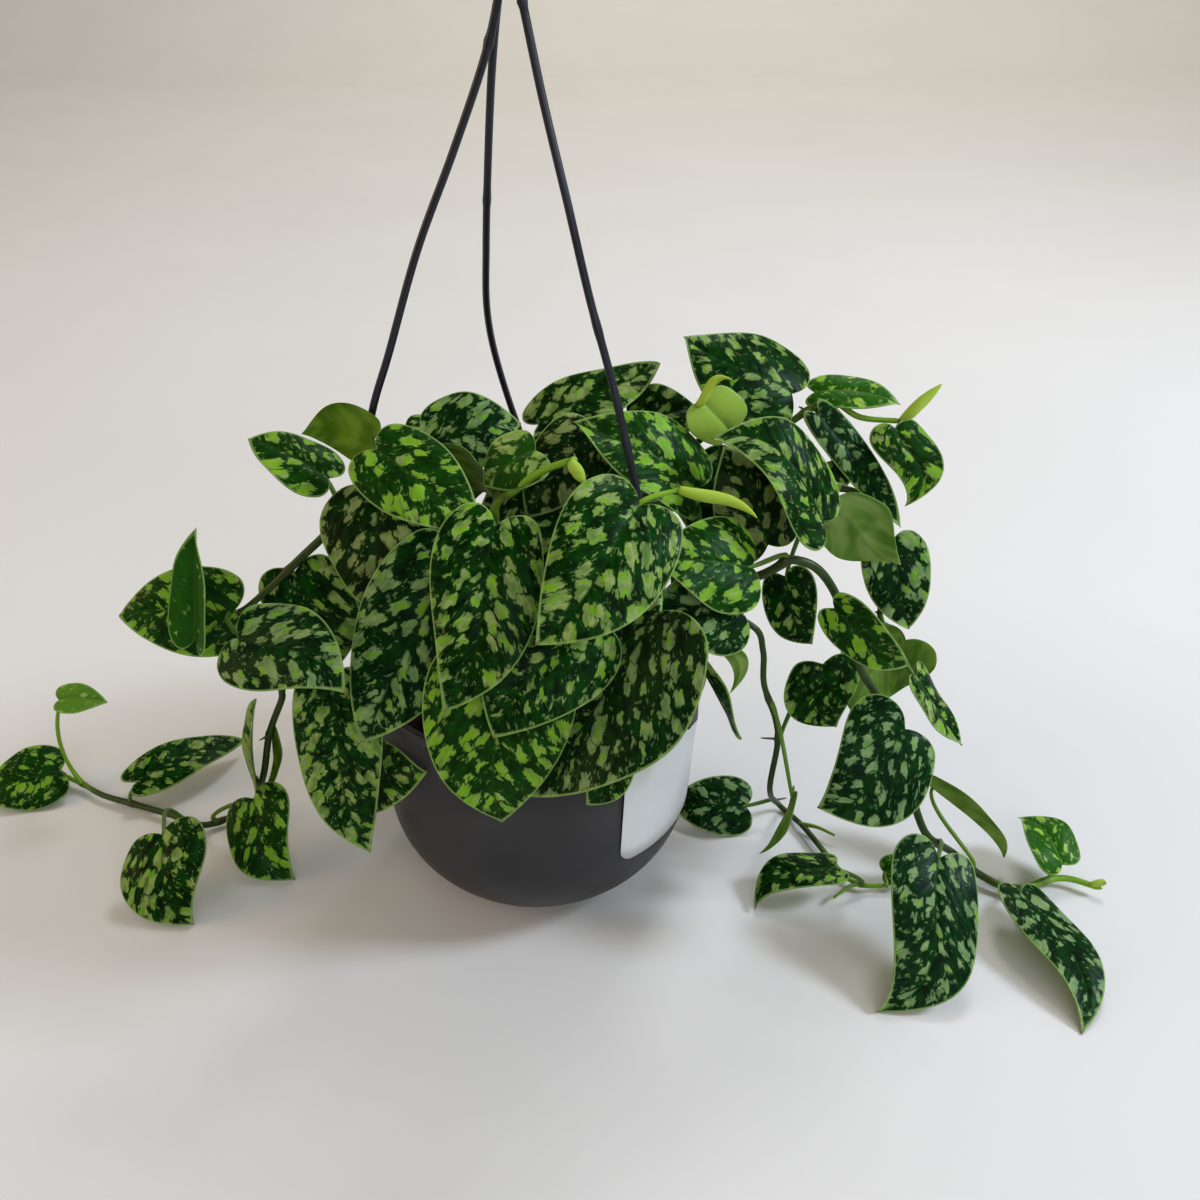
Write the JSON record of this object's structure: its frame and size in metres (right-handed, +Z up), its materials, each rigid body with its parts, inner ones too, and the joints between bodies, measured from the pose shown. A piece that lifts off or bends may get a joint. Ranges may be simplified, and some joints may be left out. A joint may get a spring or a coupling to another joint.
{
  "type": "potted tricolor silver scindapsus",
  "caption": "Trailing houseplant with silver-splashed leaves in a dark plastic hanging pot, with its hanger clipped to the rim.",
  "frame": {"origin": "middle of the pot's flat base, on the surface that it stands on", "axes": "+Z up the pot's axis, -Y towards the front, +X to the right as seen from the front"},
  "size_m": [0.5566, 0.2344, 0.4263],
  "materials": {
    "pot_plastic": "moulded dark grey plastic with a soft sheen",
    "hanger_plastic": "moulded black plastic with a soft sheen",
    "potting_mix": "damp, crumbly peat and bark",
    "sticker_paper": "smooth coated paper",
    "leaf": "satin dark green with silver and lime splashes and a pale edge"
  },
  "bodies": {
    "root": {"pot": "pot_plastic", "soil": "potting_mix", "hanger": "hanger_plastic", "sticker": "sticker_paper", "stem_floor_left": "leaf", "stem_high_left": "leaf", "stem_crown_left": "leaf", "stem_crown_back_left": "leaf", "stem_front_left": "leaf", "stem_front_middle": "leaf", "stem_front_right": "leaf", "stem_front_low": "leaf", "stem_new_shoot": "leaf", "stem_crown_back": "leaf", "stem_top_right": "leaf", "stem_crown_right": "leaf", "stem_main_right": "leaf", "stem_thin_right": "leaf", "stem_high_right": "leaf", "stem_back_right": "leaf", "stem_low_right": "leaf", "stem_back_1": "leaf", "stem_back_2": "leaf", "stem_back_3": "leaf", "stem_back_4": "leaf"}
  },
  "joints": []
}
